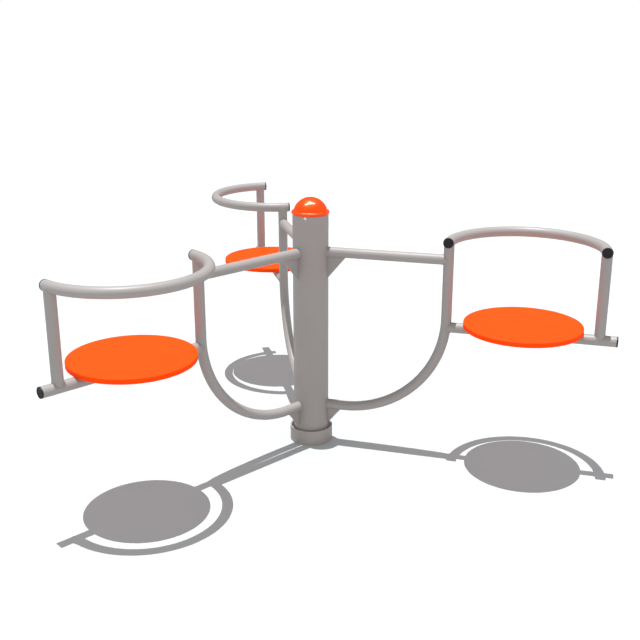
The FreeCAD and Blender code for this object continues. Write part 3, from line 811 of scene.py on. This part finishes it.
CAMERA_PLACE = (0.8287, -2.7267, 1.3334)
CAMERA_HEADING = math.radians(106.130)
CAMERA_PITCH = math.radians(17.3376)
CAMERA_LENS_MM = 51.807
CAMERA_SENSOR_MM = 36
CAMERA_SHIFT = (-0.00426, -0.01314)
SUN_LEAN = (0.0569, -0.0366)  # how far a shadow moves for each metre of height
SUN_STRENGTH = 5.0
SUN_WIDTH = math.radians(0.12)
SKY_ABOVE = 0.25
SKY_AT_HORIZON = 1.6
SKY_IN_GLOSS = 0.10
SKY_ABOVE_IN_GLOSS = 0.8
ABOVE_FROM, ABOVE_FULL = math.sin(math.radians(42)), math.sin(math.radians(64))
STRIP_HEIGHT = 3.4
STRIP_WIDTH = 0.16
STRIP_GLOW = 185.0  # brightness of the strip itself
STRIPS = {  # place, length and heading
    "strip_left": ((-0.58, -0.40), 1.45, math.radians(32)),
    "strip_right": ((0.42, 0.09), 0.95, math.radians(17)),
}
FLOOR_TONE = (0.465, 0.470, 0.473)
FLOOR_TO_CAMERA = (0.455, 0.487, 0.500)
FLOOR_IN_GLOSS = (0.25, 0.25, 0.25)


def build_camera():
    data = bpy.data.cameras.new("camera")
    data.sensor_width = CAMERA_SENSOR_MM
    data.lens = CAMERA_LENS_MM
    data.shift_x, data.shift_y = CAMERA_SHIFT
    camera = bpy.data.objects.new("camera", data)
    camera.location = CAMERA_PLACE
    flat = math.cos(CAMERA_PITCH)
    heading = Vector((math.cos(CAMERA_HEADING) * flat, math.sin(CAMERA_HEADING) * flat, -math.sin(CAMERA_PITCH)))
    camera.rotation_euler = heading.to_track_quat("-Z", "Y").to_euler()
    bpy.context.scene.collection.objects.link(camera)
    bpy.context.scene.camera = camera


def build_floor():
    """Pale matt floor, dimmed where a glossy surface mirrors it."""
    size = 60.0
    mesh = bpy.data.meshes.new("floor")
    mesh.from_pydata([(-size, -size, 0), (size, -size, 0), (size, size, 0), (-size, size, 0)], [], [(0, 1, 2, 3)])
    material = bpy.data.materials.new("pale_floor")
    material.use_nodes = True
    nodes, links = material.node_tree.nodes, material.node_tree.links
    nodes.clear()
    path = nodes.new("ShaderNodeLightPath")
    matt = nodes.new("ShaderNodeBsdfDiffuse")
    colour = None
    for ray, value in (("Is Glossy Ray", FLOOR_IN_GLOSS), ("Is Camera Ray", FLOOR_TO_CAMERA)):
        tone = nodes.new("ShaderNodeMix")
        tone.data_type = "RGBA"
        tone.inputs["A"].default_value = (*FLOOR_TONE, 1)
        tone.inputs["B"].default_value = (*value, 1)
        links.new(path.outputs[ray], tone.inputs["Factor"])
        if colour:
            links.new(colour, tone.inputs["A"])
        colour = tone.outputs["Result"]
    links.new(colour, matt.inputs["Color"])
    links.new(matt.outputs[0], nodes.new("ShaderNodeOutputMaterial").inputs["Surface"])
    mesh.materials.append(material)
    floor = bpy.data.objects.new("floor", mesh)
    bpy.context.scene.collection.objects.link(floor)


def build_sky():
    """Sky light that grows towards the horizon. In reflections it is dark but for a soft patch overhead; behind
    the object it is plain white."""
    world = bpy.data.worlds.new("studio")
    bpy.context.scene.world = world
    world.use_nodes = True
    nodes, links = world.node_tree.nodes, world.node_tree.links
    nodes.clear()
    path = nodes.new("ShaderNodeLightPath")
    height = nodes.new("ShaderNodeSeparateXYZ")
    links.new(nodes.new("ShaderNodeTexCoord").outputs["Generated"], height.inputs[0])

    def glow(low, high, at_low, at_high, interpolation):
        """A background whose strength follows the height of the direction."""
        scale = nodes.new("ShaderNodeMapRange")
        scale.interpolation_type = interpolation
        links.new(height.outputs["Z"], scale.inputs["Value"])
        for key, value in (("From Min", low), ("From Max", high), ("To Min", at_low), ("To Max", at_high)):
            scale.inputs[key].default_value = value
        light = nodes.new("ShaderNodeBackground")
        light.inputs["Color"].default_value = (1, 1, 1, 1)
        links.new(scale.outputs["Result"], light.inputs["Strength"])
        return light

    shader = glow(0, 1, SKY_AT_HORIZON, SKY_ABOVE, "LINEAR")
    others = {
        "Is Glossy Ray": glow(ABOVE_FROM, ABOVE_FULL, SKY_IN_GLOSS, SKY_ABOVE_IN_GLOSS, "SMOOTHSTEP"),
        "Is Camera Ray": glow(0, 1, 1, 1, "LINEAR"),
    }
    for ray, other in others.items():
        mix = nodes.new("ShaderNodeMixShader")
        links.new(path.outputs[ray], mix.inputs[0])
        links.new(shader.outputs[0], mix.inputs[1])
        links.new(other.outputs[0], mix.inputs[2])
        shader = mix
    links.new(shader.outputs[0], nodes.new("ShaderNodeOutputWorld").inputs["Surface"])


def build_sun():
    """A sun nearly overhead, with hard shadows."""
    sun = bpy.data.lights.new("sun", "SUN")
    sun.energy = SUN_STRENGTH
    sun.angle = SUN_WIDTH
    lamp = bpy.data.objects.new("sun", sun)
    lamp.rotation_euler = Vector((*SUN_LEAN, -1)).to_track_quat("-Z", "Y").to_euler()
    bpy.context.scene.collection.objects.link(lamp)


def build_strips():
    """Two strip boxes overhead that only show in the cap, as one bent highlight."""
    receivers = bpy.data.collections.new("lit_by_strips")
    receivers.objects.link(bpy.data.objects["dome_cap_skin"])
    for name, (place, length, heading) in STRIPS.items():
        data = bpy.data.lights.new(name, "AREA")
        data.shape = "RECTANGLE"
        data.size, data.size_y = length, STRIP_WIDTH
        data.energy = STRIP_GLOW * length * STRIP_WIDTH * math.pi
        lamp = bpy.data.objects.new(name, data)
        lamp.location = (*place, STRIP_HEIGHT)
        lamp.rotation_euler = (0, 0, heading)
        lamp.visible_diffuse = False
        lamp.visible_camera = False
        lamp.light_linking.receiver_collection = receivers
        bpy.context.scene.collection.objects.link(lamp)


dress_frame()
build_column()
build_arms()
build_camera()
build_floor()
build_sky()
build_sun()
build_strips()
bpy.context.scene.view_settings.view_transform = "Standard"
